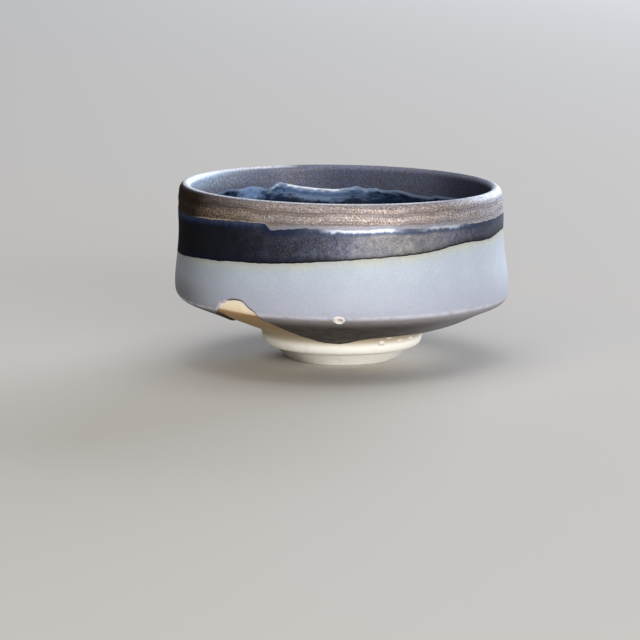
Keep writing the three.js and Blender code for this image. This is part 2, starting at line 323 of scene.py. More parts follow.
def on_cup(angle, length, out):
    """The profile's point at a length, moved out along its normal, then turned round the axis by the angle.
    Its height then drops in proportion to how far right it is, less and less below the keel. The underside
    sags in a bell curve on the right. Above the keel a point moves left in proportion to its height there."""
    radius = np.interp(length, skin_length, skin_radius) + out * np.interp(length, skin_length, normal_radius)
    height = np.interp(length, skin_length, skin_height) + out * np.interp(length, skin_length, normal_height)
    right = radius * np.sin(np.radians(angle))
    away = -radius * np.cos(np.radians(angle))
    sag = sag_depth * np.exp(-(((radius - sag_radius) / sag_width) ** 2)) * np.maximum(right / radius, 0)
    up = height - rim_drop * (right / waist_radius) * np.minimum(height / keel_height, 1)
    up = up - np.where(length < underside_end, sag, 0)
    leant = right - rim_shift * np.maximum((height - keel_height) / (rim_height - keel_height), 0)
    return np.stack(np.broadcast_arrays(leant, away, up), axis=-1) * MM


def outside_length(height):
    """Length along the profile where the outside of the cup has a height."""
    part = slice(outside_start, crest + 1)
    return np.interp(height, skin_height[part], skin_length[part])


def inside_length(height):
    """Length along the profile where the inside of the bowl has a height."""
    return np.interp(height, skin_height[crest:][::-1], skin_length[crest:][::-1])


keel_line_rise = 0.55
keel_line = outside_length(keel_height + keel_line_rise)
lip_line = skin_length[crest]
print(f"keel {keel_line:.1f} mm and lip {lip_line:.1f} mm along the profile")

# %% [markdown]
# ## From rows of points to a mesh
# A piece is made of rows that each go once round the cup, or round its own middle if it is a small one.
# Neighbouring rows are joined by quads. The rows of a glaze coat go over its outer face and back under it,
# so the last row joins the first. The clay, the bowl's glaze and the small pieces start and end in a point
# instead, where triangles close the pole. The signed volume of the mesh says which way its faces point, and
# they are turned over if it is negative.

# %% Mesh builder
pieces = {}


def add_piece(name, points, marks, poles):
    """A closed mesh through rows of points: quads join row to row, and poles join the end rows to one point.
    Its volume is a sixth of the sum of the triple products of its triangles."""
    rows, columns = points.shape[:2]
    index = np.arange(rows * columns).reshape(rows, columns)
    if not poles:
        index = np.vstack([index, index[:1]])
    beside = np.roll(index, -1, axis=1)
    quads = np.stack([index[:-1], beside[:-1], beside[1:], index[1:]], axis=-1).reshape(-1, 4)
    corners = points.reshape(-1, 3)
    values = {mark: np.broadcast_to(value, (rows, columns)).ravel() for mark, value in marks.items()}
    caps = np.empty((0, 3), int)
    if poles:
        corners = np.vstack([corners, points[0].mean(axis=0), points[-1].mean(axis=0)])
        first, last = rows * columns, rows * columns + 1
        caps = np.vstack([
            np.stack([np.full(columns, first), beside[0], index[0]], axis=-1),
            np.stack([np.full(columns, last), index[-1], beside[-1]], axis=-1),
        ])
        values = {mark: np.append(value, [value[0], value[-1]]) for mark, value in values.items()}
    halves = np.vstack([quads[:, [0, 1, 2]], quads[:, [0, 2, 3]], caps])
    a, b, c = (corners[halves[:, k]] for k in range(3))
    volume = np.einsum("ij,ij->i", a, np.cross(b, c)).sum() / 6
    if volume < 0:
        quads, caps = quads[:, ::-1], caps[:, ::-1]
    mesh = bpy.data.meshes.new(name)
    mesh.from_pydata(corners, [], quads.tolist() + caps.tolist(), shade_flat=False)
    for mark, value in values.items():
        mesh.attributes.new(mark, "FLOAT", "POINT").data.foreach_set("value", value.astype(np.float32))
    pieces[name] = bpy.data.objects.new(name, mesh)
    bpy.context.collection.objects.link(pieces[name])
    print(f"{name}: {len(halves)} triangles, {abs(volume) / MM**3:.0f} cubic mm")


# %% [markdown]
# ## The lines where the glazes end
# A dip line on a wall is almost level, slants a little with the hand that held the cup, and ripples where the
# glaze dried. The run line is wilder: it leaves the finger mark bare on the left, and right of it the glaze
# ran across the underside almost to the foot. Each line is a few given points, a monotone cubic through them,
# which never overshoots at the steep sides of the mark, and fine ripples of fixed phases.

# %% Curves round the cup
def closed_curve(points):
    """Value at any angle: a cubic between neighbouring points, whose slope at a point is the harmonic mean of
    the slopes on its two sides, or nothing where these differ in sign. The points go round and round."""
    angle, height = np.array(points, float).T
    angle = np.concatenate([angle - 360, angle, angle + 360])
    height = np.tile(height, 3)
    span = np.diff(angle)
    rise = np.diff(height) / span
    before, after = rise[:-1], rise[1:]
    same = before * after > 0
    slope = np.zeros_like(height)
    slope[1:-1][same] = 2 * before[same] * after[same] / (before[same] + after[same])

    def at(where):
        where = (np.asarray(where, float) + 180) % 360 - 180
        i = np.clip(np.searchsorted(angle, where, side="right") - 1, 0, len(span) - 1)
        t = (where - angle[i]) / span[i]
        from_start = (1 + 2 * t) * (1 - t) ** 2 * height[i] + t * (1 - t) ** 2 * span[i] * slope[i]
        from_end = t**2 * (3 - 2 * t) * height[i + 1] - t**2 * (1 - t) * span[i] * slope[i + 1]
        return from_start + from_end

    return at


def ripples(size, waves, seed, weakest=0.4):
    """Ragged edge: sine waves of whole counts round the cup, in fixed random phases, finer ones weaker."""
    draw = np.random.default_rng(seed)
    phases = draw.uniform(0, 2 * np.pi, len(waves))
    strengths = draw.uniform(weakest, 1, len(waves)) / np.sqrt(waves)
    strengths *= size / np.sqrt((strengths**2).sum() / 2)

    def at(angle):
        turns = np.multiply.outer(np.radians(angle), waves)
        return (strengths * np.sin(turns + phases)).sum(axis=-1)

    return at


# %% Points of the four lines, as angle and height
bronze_curve = closed_curve([
    (-150, 34.2), (-95, 33.9), (-65, 34.2), (-46, 34.8), (-30, 35.2), (-27, 35.0), (-24.4, 33.8), (-22, 34.0),
    (-17, 34.4), (-10, 34.6), (-3, 34.5), (3, 34.4), (16, 34.7), (22, 34.5), (28, 34.5), (34, 34.7),
    (44, 34.7), (50, 34.5), (60, 34.4), (76, 34.6), (120, 34.2), (165, 34.5),
])
dark_curve = closed_curve([
    (-135, 25.8), (-90, 24.3), (-75, 24.5), (-57, 25.25), (-47, 25.55), (-38, 26.0), (-32, 26.1), (-24, 26.4),
    (-6, 27.4), (2, 27.8), (14, 28.35), (26, 28.8), (34, 29.3), (41, 30.0), (49, 30.4), (57, 30.2),
    (63, 30.2), (75, 31.0), (120, 30.7), (180, 28.0),
])
well_curve = closed_curve([
    (-176, 34.7), (-170, 34.9), (-165, 35.4), (-160, 35.9), (-155, 36.5), (-152, 35.6), (-149, 35.1),
    (-147, 35.6), (-142, 36.0), (-138, 35.7), (-129, 35.9), (-126, 35.5), (-110, 35.6), (-70, 35.7),
    (0, 35.1), (90, 34.8), (130, 34.6), (138.5, 34.6), (140.5, 34.2), (145, 34.1), (158, 34.9), (163, 34.8),
    (166, 35.2), (170, 35.0), (173.6, 35.6), (176.6, 35.1),
])
run_curve = closed_curve([
    (-130, 8.7), (-80, 9.3), (-62, 10.7), (-53, 12.6), (-48.8, 14.3), (-46.8, 15.3), (-45.6, 15.9),
    (-44.8, 16.4), (-43.8, 16.5), (-42.2, 17.1), (-40.2, 17.45), (-38.4, 17.55), (-36, 17.45),
    (-34.8, 17.05), (-33.6, 16.4), (-32.3, 15.8), (-31.1, 15.4), (-30.1, 14.6), (-29.2, 13.3), (-28.4, 12.0),
    (-27.6, 10.8), (-26.6, 9.7), (-24.8, 8.6), (-21.5, 7.6), (-15, 6.6), (-10, 6.2), (-4, 6.05), (3, 6.3),
    (12, 7.5), (18, 8.1), (26, 8.5), (38, 8.9), (110, 8.7), (180, 9.0),
])
print(f"finger mark up to {run_curve(-38):.1f} mm, run down to {run_curve(-4):.1f} mm")

# %% The four lines over the skin
fine_waves = np.arange(24, 150, 6)
coarse_waves = np.arange(9, 60, 5)


def glaze_line(curve, ripple, length_at):
    """A line over the skin: at an angle, the length along the profile where the height is the curve's plus
    the ripple's."""
    return lambda angle: length_at(curve(angle) + ripple(angle))


bronze_line = glaze_line(bronze_curve, ripples(size=0.06, waves=fine_waves, seed=3), outside_length)
dark_line = glaze_line(dark_curve, ripples(size=0.03, waves=fine_waves, seed=5), outside_length)
well_line = glaze_line(well_curve, ripples(size=0.05, waves=coarse_waves, seed=8), inside_length)
run_line = glaze_line(run_curve, ripples(size=0.03, waves=fine_waves, seed=13), outside_length)
print(f"at the front the dark band is {bronze_line(0) - dark_line(0):.1f} mm wide")

# %% [markdown]
# ## How the glazes change round the cup
# The fire and the dip weren't even, and some of the changes are painted light and shade. Along the keel two
# edges of colour wander by a millimetre or less: the one where the pale glaze turns grey, and the one where
# the bare clay was flashed brown. The rest are shares from 0 to 1. The dark band is lighter and silvery right
# of the middle, partly thinner glaze and partly painted sheen, and black on the left, partly thick glaze and
# partly painted shade. The rim is dim on the left, partly its own colour and partly painted shade, ashy on
# the right and smooth at its lower edge in front, milky glaze gathered along both of its edges, and inside it
# has painted shade on the right and a painted highlight on the left. Painted shade darkens the pale coat on
# the left and painted light brightens it under the right, the bowl's edge bloomed at one place, and painted
# shade greys the foot on the left. All are a few given values, with the same cubic through them.

# %% Edges of colour along the keel, as angle and distance above it
keel_edge = closed_curve([
    (-135, -0.4), (-90, -0.65), (-60, -0.6), (-47, -0.45), (-30, -0.25), (-20, -0.15), (0, -0.05), (30, 0.15),
    (60, 0.28), (90, 0.3), (180, 0.0),
])
flash_edge = closed_curve([
    (-90, -0.6), (-50, -0.45), (-40, -0.65), (-30, -1.0), (-20, -0.9), (0, -0.1), (90, 0.3),
])
print(f"the flash starts {-flash_edge(-38):.1f} mm under the keel line in the finger mark")

# %% Shares round the cup
# Painted sheen where the dark band is lighter right of the middle, partly a thinner band; at 0 it is painted
# black as shade, partly a thick band.
band_thinness_and_sheen = closed_curve([
    (-150, 0.35), (-100, 0.0), (-72, 0.0), (-54, 0.05), (-40, 0.07), (-25, 0.16), (-12, 0.28), (0, 0.55),
    (10, 0.88), (22, 1.0), (34, 0.8), (45, 0.55), (58, 0.3), (75, 0.3), (110, 0.5), (160, 0.6),
])
rim_milk = closed_curve([
    (-150, 0.5), (-95, 0.2), (-60, 0.2), (-30, 0.25), (-25, 0.1), (-19, 0.1), (-14, 0.2), (-8, 0.3),
    (-3, 0.8), (6, 1.0), (16, 1.0), (19, 0.45), (25, 0.25), (29, 0.4), (34, 0.7), (42, 0.65), (48, 0.3),
    (56, 0.1), (80, 0.1), (120, 0.5), (165, 0.8),
])
# Painted shade on the left of the rim, partly its own darker colour, as a share round the cup.
rim_dim_and_shade = closed_curve([
    (-140, 0.3), (-95, 1.0), (-66, 1.0), (-52, 0.66), (-36, 0.42), (-20, 0.1), (-5, 0.0), (60, 0.0),
    (120, 0.2),
])
rim_ash = closed_curve([
    (-160, 0.1), (-90, 0.0), (12, 0.0), (36, 0.35), (55, 0.75), (75, 1.0), (110, 0.5), (150, 0.15),
])
rim_smooth = closed_curve([
    (-160, 0.7), (-90, 0.3), (-60, 0.0), (-28, 0.0), (-24, 1.0), (30, 1.0), (48, 0.5), (70, 0.2), (130, 0.6),
])
# Milky edge of the bowl glaze, which also carries its painted highlight.
well_milk_and_highlight = closed_curve([
    (-176, 1.0), (-168, 1.0), (-163, 0.9), (-158, 0.7), (-153, 0.6), (-150, 0.3), (-147.5, 0.35),
    (-144, 0.95), (-140, 1.0), (-136, 0.5), (-130, 0.15), (-122, 0.1), (-95, 0.4), (-60, 0.7), (0, 0.5),
    (60, 0.7), (100, 0.4), (135, 0.05), (150, 0.1), (163, 0.2), (168, 0.4), (177, 0.5),
])
well_bloom = closed_curve([(-151, 0.0), (-146, 0.7), (-142, 1.0), (-137, 0.6), (-131, 0.0), (90, 0.0)])
# Painted shade on the pale coat, as a share round the cup: 1 where its left is darkest.
pale_left_shade = closed_curve([
    (-170, 0.3), (-90, 1.0), (-70, 0.8), (-58, 0.5), (-42, 0.18), (-20, 0.05), (0, 0.0), (60, 0.0), (90, 0.2),
    (140, 0.2),
])
# Painted light on the right of the underside, as a share round the cup.
under_right_light = closed_curve([
    (-180, 0.5), (-90, 0.2), (-20, 0.0), (8, 0.05), (32, 0.35), (50, 0.9), (70, 1.0), (130, 0.9),
])
inner_shade = closed_curve([
    (-180, 0.75), (-168, 0.55), (-155, 0.2), (-120, 0.0), (0, 0.0), (30, 0.2), (70, 0.9), (120, 1.0),
    (145, 0.45), (168, 0.65),
])
# Painted highlight inside the rim on the left, as a share round the cup.
inner_left_highlight = closed_curve([
    (-175, 0.0), (-155, 0.15), (-140, 0.45), (-125, 0.85), (-110, 1.0), (-95, 0.9), (-75, 0.4), (-40, 0.1),
    (0, 0.0), (120, 0.0),
])
# Painted shade on the foot, as a share round the cup: 1 on the left.
painted_foot_shade = closed_curve([
    (-180, 0.5), (-100, 1.0), (-54, 1.0), (-34, 0.5), (-10, 0.15), (20, 0.0), (90, 0.2),
])
print(f"dark band thinnest at {np.argmax(band_thinness_and_sheen(np.arange(-180, 180))) - 180} degrees")

# %% [markdown]
# ## How far a point is from a line
# The halo round the bare clay, the dark edge and the rolled edge of the glaze all depend on the distance to a
# glaze line over the skin. The height above the line won't do, because the line is steep at the finger mark.

# %% Distance over the skin
def way_to_line(angle, length, line, reach=9.0, cuts=90):
    """Shortest way from each point to a line: the line within a reach of degrees is cut into short straight
    stretches, and the nearest point of every stretch is compared."""
    radius = np.interp(length, skin_length, skin_radius)
    nearest = np.full(np.broadcast(angle, length).shape, np.inf)
    offsets = np.linspace(-reach, reach, cuts + 1)
    side, above = radius * np.radians(offsets[0]), line(angle + offsets[0]) - length
    for offset in offsets[1:]:
        next_side, next_above = radius * np.radians(offset), line(angle + offset) - length
        run, climb = next_side - side, next_above - above
        share = np.clip(-(side * run + above * climb) / (run**2 + climb**2), 0, 1)
        nearest = np.minimum(nearest, (side + share * run) ** 2 + (above + share * climb) ** 2)
        side, above = next_side, next_above
    return np.sqrt(nearest)


# %% Angles round the cup, close together at the finger mark
mark_from = -56
mark_to = -14
mark_fade = 3.0
even_spacing = 0.5


def angles_round(coarse, fine, samples=7201):
    """Angles once round: the spacing is fine at the finger mark and coarse elsewhere. The change is a
    logistic step at each end of the mark."""
    degrees = np.linspace(-180, 180, samples)
    after_start = 1 / (1 + np.exp(-(degrees - mark_from) / mark_fade))
    inside = after_start / (1 + np.exp((degrees - mark_to) / mark_fade))
    density = 1 / coarse + (1 / fine - 1 / coarse) * inside
    walked = np.concatenate([[0], np.cumsum((density[1:] + density[:-1]) / 2 * np.diff(degrees))])
    count = int(walked[-1])
    return np.interp(np.arange(count) / count * walked[-1], walked, degrees)


mark_angles = angles_round(coarse=1.0, fine=0.13)
even_angles = np.arange(-180, 180, even_spacing)
print(f"{len(mark_angles)} angles for the pieces at the finger mark, {len(even_angles)} for the others")

# %% [markdown]
# ## The clay body
# The clay shows at the foot, on part of the underside and in the finger mark. Its rows lie closer where the
# profile bends, and closer still below the glaze, where the turning tool left fine rings. The ring that it
# stands on is flat.

# %% Rows of the clay
clay_rows = 142
rows_anywhere = 0.45
rows_at_bends = 1.2
rows_on_bare_clay = 2.2
sharpest_bend = 2.5
bend_reach = 10
bare_height = 19

bare_reach = outside_length(bare_height)
bend = np.abs(np.gradient(np.unwrap(np.arctan2(along_height, along_radius)), skin_length))
bend = np.minimum(soften(bend, bend_reach), sharpest_bend)
row_density = rows_anywhere + rows_at_bends * bend + rows_on_bare_clay * (skin_length < bare_reach)
row_walk = np.concatenate([[0], np.cumsum(row_density[1:] * np.diff(skin_length))])
clay_length = np.interp(np.linspace(0, row_walk[-1], clay_rows)[1:-1], row_walk, skin_length)[:, None]
print(f"{len(clay_length)} rows, {int((clay_length < bare_reach).sum())} of them where the clay may be bare")

# %% Clay body
turning_pitch = 0.9
turning_depth = 0.012

turning = turning_depth * np.cos(2 * np.pi * clay_length / turning_pitch + np.radians(mark_angles))
on_turned = (np.interp(clay_length, skin_length, skin_height) > foot_ease) & (clay_length < bare_reach)
clay_points = on_cup(mark_angles, clay_length, turning * on_turned)
clay_marks = {
    "over_keel": clay_length - keel_line,
    "over_flash": clay_length - keel_line - flash_edge(mark_angles),
    "to_glaze": way_to_line(mark_angles, clay_length, run_line),
    # painted shade on the foot, most on the left
    "foot_shade": painted_foot_shade(mark_angles),
}
add_piece("turned_clay", clay_points, clay_marks, poles=True)

# %% [markdown]
# ## Glaze coats
# A fired coat is about 0.4 mm thick. Surface tension rolls its edge over in a quarter of an ellipse, and
# thickens it a little just behind the roll. The same functions make all the coats: rows crowd at the two
# edges, the outer face stands out of the clay by the thickness there, and the inner face lies just under the
# clay's surface, so that no gap shows. A solid with Solidify and Bevel modifiers couldn't follow these edges.

# %% Coat functions
sunk = 0.05
lap = 0.6
bead_width = 0.6
roll_rows = 12
face_rows = 34
back_rows = 8
roll_shares = 1 - np.cos(np.linspace(0, np.pi / 2, roll_rows))[:, None]


def rolled(way, width):
    """Share of the full thickness at a way from the edge: a quarter of an ellipse as wide as the roll."""
    near = 1 - np.clip(way / width, 0, 1)
    return np.sqrt(1 - near**2)


def bead(way, height):
    """Extra thickness behind the roll: a bell of this height, one bead width from the edge."""
    return height * np.exp(-(((way - bead_width) / bead_width) ** 2))


def coat_lengths(low, high, width, between):
    """Rows of a coat from its low edge to its high edge: crowded over the rolls, evenly spread between."""
    spread = np.linspace(0, 1, between + 2)[1:-1, None]
    middle = low + width + spread * (high - low - 2 * width)
    return np.vstack([low + width * roll_shares, middle, (high - width * roll_shares)[::-1]])


def coat_out(thickness, roll, to_low, to_high):
    """Height of a coat's face over the clay: its thickness times both edges' rolls, less what is sunk."""
    return (thickness + sunk) * rolled(to_low, roll) * rolled(to_high, roll) - sunk


def coat_rows(lengths, out):
    """Outer face of a coat from its low edge to its high edge, and the inner face back under it."""
    back = np.linspace(1, 0, back_rows)[1:-1, None]
    under = lengths[:1] + back * (lengths[-1:] - lengths[:1])
    return np.vstack([lengths, under]), np.vstack([out, np.full_like(under, -sunk)])


# %% [markdown]
# ### Pale coat
# The first dip covers the wall from the dark band down over the keel and most of the underside. Its upper
# edge runs on for 0.6 mm under the dark band. Right of the finger mark its lower edge is thick, and painted
# dark: partly iron gathered in the thick edge and partly painted shadow of the roll.

# %% Pale coat
pale_thickness = 0.4
pale_roll = 0.45
pale_bead = 0.07
thick_edge_from = -41.5

low, high = run_line(mark_angles), dark_line(mark_angles) + lap
lengths = coat_lengths(low, high, pale_roll, face_rows)
to_run = way_to_line(mark_angles, lengths, run_line)
out = coat_out(pale_thickness, pale_roll, to_run, high - lengths)
out += bead(to_run, pale_bead) * rolled(to_run, pale_roll)
all_lengths, all_out = coat_rows(lengths, out)
pale_marks = {
    "over_keel": all_lengths - keel_line - keel_edge(mark_angles),
    "to_run": way_to_line(mark_angles, all_lengths, run_line),
    "to_dark": dark_line(mark_angles) - all_lengths,
    "thick_edge": 1 / (1 + np.exp(thick_edge_from - mark_angles)),
    # painted shade on the left, as a share round the cup
    "left_shade": pale_left_shade(mark_angles),
    # painted light on the right of the underside
    "milk_and_painted_light": under_right_light(mark_angles),
}
add_piece("pale_coat", on_cup(mark_angles, all_lengths, all_out), pale_marks, poles=False)

# %% [markdown]
# ### Dark band
# The second dip lies a little thicker over the edge of the first, with a soft roll at its lower line.

# %% Dark band
dark_thickness = 0.45
dark_roll = 0.25

low, high = dark_line(even_angles), bronze_line(even_angles) + lap
lengths = coat_lengths(low, high, dark_roll, face_rows)
out = coat_out(dark_thickness, dark_roll, lengths - low, high - lengths)
all_lengths, all_out = coat_rows(lengths, out)
dark_marks = {
    "to_pale": all_lengths - low,
    "to_bronze": bronze_line(even_angles) - all_lengths,
    # thinner band and painted sheen, as a share round the cup
    "thin_and_sheen": band_thinness_and_sheen(even_angles),
    "milk_and_painted_light": rim_milk(even_angles),
}
add_piece("dark_band", on_cup(even_angles, all_lengths, all_out), dark_marks, poles=False)

# %% [markdown]
# ### Bronze rim
# The rim glaze follows the throwing rings of the clay under it: two broad ridges on the outside, with finer
# ones between them, which wander up and down as the potter's fingers did.

# %% Throwing rings of the rim
bronze_thickness = 0.48
bronze_roll = 0.25
rim_rows = 84
ring_pitch = 2.5
ring_crest = 36.8
fine_ring_share = 0.3
fine_ring_pitch = 0.62
ring_end = 1.0
ring_fade = 0.25
ring_wander = 0.5
wander_waves = coarse_waves[:5]

low, high = bronze_line(even_angles), well_line(even_angles) + lap
lengths = coat_lengths(low, high, bronze_roll, rim_rows)
ring_height = np.interp(lengths, skin_length, skin_height)
wander = ripples(ring_wander, wander_waves, seed=21)(even_angles)
ring_wave = np.cos(2 * np.pi * (ring_height - ring_crest) / ring_pitch + wander)
fine_wave = np.cos(2 * np.pi * ring_height / fine_ring_pitch + 2 * wander)
on_outside = 1 / (1 + np.exp((lengths - lip_line + ring_end) / ring_fade))
rings = ((1 - fine_ring_share) * ring_wave + fine_ring_share * fine_wave) * on_outside
print(f"throwing rings {ring_pitch} mm apart, with finer ones {fine_ring_pitch} mm apart")

# %% Bronze rim
ring_depth = 0.06
ring_start = 1.0

to_low, to_high = lengths - low, high - lengths
out = coat_out(bronze_thickness, bronze_roll, to_low, to_high)
out += ring_depth * (rings - on_outside) * (1 - np.exp(-((to_low / ring_start) ** 2)))
all_lengths, all_out = coat_rows(lengths, out)
no_rings = np.zeros((len(all_lengths) - len(lengths), len(even_angles)))
bronze_marks = {
    "to_dark": all_lengths - low,
    "over_lip": all_lengths - lip_line,
    "ring": np.vstack([rings, no_rings]),
    "smooth": rim_smooth(even_angles),
    # dark on the left: partly its own colour, partly painted shade
    "dim": rim_dim_and_shade(even_angles),
    "ash": rim_ash(even_angles),
    "shade": inner_shade(even_angles),
    # painted highlight inside on the left
    "light": inner_left_highlight(even_angles),
    "milk_and_painted_light": rim_milk(even_angles),
}
add_piece("bronze_rim", on_cup(even_angles, all_lengths, all_out), bronze_marks, poles=False)

# %% [markdown]
# ### Bowl glaze
# The blue glaze of the bowl laps over the rim glaze inside and runs down to the middle of the floor, where
# it closes in a pole. Shallow throwing rings show through it, and fade at its edge and in the middle.

# %% Bowl glaze
well_thickness = 0.48
well_roll = 0.3
well_bead = 0.05
bowl_rows = 72
bowl_back_rows = 10
bowl_ring_pitch = 4.5
bowl_ring_depth = 0.05
middle_fade = 4
edge_fade = 3
pole_gap = 0.3

edge = well_line(even_angles)
middle_length = skin_length[-1] - pole_gap
spread = np.linspace(0, 1, bowl_rows)[1:, None]
face = edge + well_roll + spread * (middle_length - edge - well_roll)
lengths = np.vstack([edge + well_roll * roll_shares, face])
to_edge = lengths - edge
bowl_rings = bowl_ring_depth * np.cos(2 * np.pi * lengths / bowl_ring_pitch + np.radians(even_angles))
near_middle = np.clip((skin_length[-1] - lengths) / middle_fade, 0, 1)
out = (well_thickness + sunk + bead(to_edge, well_bead)) * rolled(to_edge, well_roll) - sunk
out += bowl_rings * near_middle * (1 - np.exp(-((to_edge / edge_fade) ** 2)))
under = edge + np.linspace(0, 1, bowl_back_rows)[1:, None] * (middle_length - edge)
all_lengths = np.vstack([lengths[::-1], under])
all_out = np.vstack([out[::-1], np.full_like(under, -sunk)])
well_marks = {
    "to_bronze": all_lengths - edge,
    "milk_and_painted_light": well_milk_and_highlight(even_angles),
    "bloom": well_bloom(even_angles),
}
add_piece("bowl_glaze", on_cup(even_angles, all_lengths, all_out), well_marks, poles=True)

# %% [markdown]
# ## Bubble and drops
# A bubble burst on the keel while the glaze was molten and left a small ring wall round a pit. Drops of glaze
# also stand on the step of the foot. Each is a patch of the skin, pushed out by a height that depends on the
# share of the way from its middle to its rim, so it sits on the curved clay from any side.

# %% Patch function
patch_columns = 48
innermost = 0.02
patch_angles = np.arange(patch_columns) / patch_columns * 2 * np.pi


def add_patch(name, angle, height, half_sizes, shares, out, pit, middle=(0, 0)):
    """A closed patch: ellipses of growing share round a middle, each pushed out of the clay by its height."""
    length = outside_length(height)
    radius = np.interp(length, skin_length, skin_radius)
    shares = shares[:, None]
    side = half_sizes[0] * (shares * np.cos(patch_angles) + (1 - shares) * middle[0])
    up = half_sizes[1] * (shares * np.sin(patch_angles) + (1 - shares) * middle[1])
    points = on_cup(angle + np.degrees(side / radius), length + up, out[:, None])
    add_piece(name, points, {"pit": pit[:, None]}, poles=True)


# %% Burst bubble
bubble_angle = -1.5
bubble_height = 14.9
bubble_half_sizes = (1.42, 1.0)
bubble_middle = (0.35, 0.15)
bubble_rows = 26
bubble_wall = 0.4
bubble_pit = 0.3
wall_place = 0.62
wall_width = 0.26
pit_width = 0.2
bubble_back = [0.7, 0.3, innermost]

top_shares = np.linspace(innermost, 1, bubble_rows)
bubble_out = bubble_wall * np.exp(-(((top_shares - wall_place) / wall_width) ** 2))
bubble_out += pale_thickness - bubble_pit * np.exp(-((top_shares / pit_width) ** 2))
bubble_out[-1] = pale_thickness - sunk
shares = np.concatenate([top_shares, bubble_back])
heights = np.concatenate([bubble_out, np.full(len(bubble_back), pale_thickness - bubble_pit - sunk)])
pit = np.exp(-((shares / (2 * pit_width)) ** 2))
add_patch("burst_bubble", bubble_angle, bubble_height, bubble_half_sizes, shares, heights, pit, bubble_middle)

# %% Drops on the foot, as angle, height, half sizes and rise
drops = {
    "foot_drop_1": (28.8, 5.9, (0.95, 0.65), 0.5),
    "foot_drop_2": (33, 7.1, (0.8, 0.3), 0.2),
    "foot_drop_3": (46, 5.95, (1.25, 0.45), 0.42),
    "foot_drop_4": (57, 6.1, (1.0, 0.42), 0.36),
}
drop_rows = 14
drop_back = [0.6, innermost]

dome = np.linspace(innermost, 1, drop_rows)
shares = np.concatenate([dome, drop_back])
for name, (angle, height, half_sizes, rise) in drops.items():
    drop_out = (rise + sunk) * np.sqrt(1 - dome**2) - sunk
    heights = np.concatenate([drop_out, np.full(len(drop_back), -2 * sunk)])
    add_patch(name, angle, height, half_sizes, shares, heights, np.zeros_like(shares))

# %% [markdown]
# ## Finishes
# Glazes are glass with metal oxides. How each looks comes from its colour, its gloss and what happened at its
# edges in the fire; some colours here also stand for light, as painted shade, highlights, glints and sheen.
# So a finish is a list of colours laid over one another, each kept to some places: to a distance from an edge
# that the mesh carries, to a share round the cup or to the spots of a cloudy noise.
# Sizes of noises are real sizes in millimetres. The finest grains of clay and crystals are smaller than the
# render can show, so they are drawn about 0.3 mm wide, as coarse as they need to be to show.

# %% Shared pieces of the finishes
# Places of the colour sockets in the lists of inputs and outputs of a Mix node
MIX_A, MIX_B, MIX_COLOUR = 6, 7, 2


def per_mm(size):
    """Texture scale for features of a size: a scale of 1000 has features about a millimetre wide."""
    return 1 / (size * MM)


def lay_over(tree, colour, layers):
    """Colours laid over one another. A layer has a colour, a strength and places. Each place is a value, the
    number where the layer is full and the number where it has gone. The smooth steps there are multiplied."""
    for hex_code, strength, *where in layers:
        cover = strength
        for value, full, gone in where:
            step = {"Value": value, "From Min": full, "From Max": gone, "To Min": 1.0, "To Max": 0.0}
            step = add_node(tree, "ShaderNodeMapRange", step, interpolation_type="SMOOTHSTEP")
            cover = add_node(tree, "ShaderNodeMath", {0: step, 1: cover}, operation="MULTIPLY")
        mix = {0: cover, MIX_A: colour, MIX_B: linear(hex_code)}
        colour = add_node(tree, "ShaderNodeMix", mix, MIX_COLOUR, data_type="RGBA")
    return colour


# %% [markdown]
# ### Bare stoneware
# Fired stoneware clay without glaze is dry, with a fine grain and a few iron specks. It is cream in the
# finger mark, flashed brown under the keel, tan on the underside with a brown line beside the glaze, and
# almost white on the foot, where painted shade greys the ring a little, and more on the left.

# %% Bare stoneware
def stoneware():
    """Fired clay: rough, matt, warm."""
    material, tree, shader = new_material("bare_stoneware")
    place = add_node(tree, "ShaderNodeTexCoord", output="Object")
    over_keel, over_flash, to_glaze, foot_shade = (
        add_node(tree, "ShaderNodeAttribute", output="Fac", attribute_name=mark)
        for mark in ("over_keel", "over_flash", "to_glaze", "foot_shade")
    )
    patches, specks, grain = (
        add_node(tree, "ShaderNodeTexNoise", {"Vector": place, "Scale": per_mm(size), "Detail": detail})
        for size, detail in ((2.5, 3.0), (0.45, 1.0), (0.3, 3.0))
    )
    colour = lay_over(tree, linear("#b79a72"), [
        ("#c3b69c", 0.9, (over_keel, -19.5, -11.0)),
        ("#fffcf0", 1.0, (over_keel, -22.8, -21.2)),
        # Painted shade: the ring under the step a little greyer, and grey on the left.
        ("#f1eee7", 0.85, (over_keel, -25.9, -25.4)),
        ("#a49b8d", 0.9, (over_keel, -26.0, -25.2), (foot_shade, 1.0, 0.0)),
        ("#94663a", 0.6, (to_glaze, 0.2, 1.3), (over_flash, -1.2, -0.3), (over_keel, -12.0, -16.0)),
        ("#ffebc6", 1.0, (over_flash, 0.8, -0.2)),
        ("#fff6e4", 0.6, (to_glaze, 0.2, 1.4), (over_flash, 0.6, 0.1)),
        ("#b98648", 0.7, (over_flash, -0.15, 0.35), (over_flash, -0.3, -2.2), (patches, 0.6, 0.25)),
        ("#c2a87f", 0.1, (patches, 0.35, 0.5)),
        ("#8b6b45", 0.6, (specks, 0.19, 0.22)),
    ])
    bump = add_node(tree, "ShaderNodeBump", {"Strength": 0.25, "Distance": 0.05 * MM, "Height": grain})
    fill(tree, shader, {"Base Color": colour, "Roughness": 0.85, "Normal": bump})
    return material
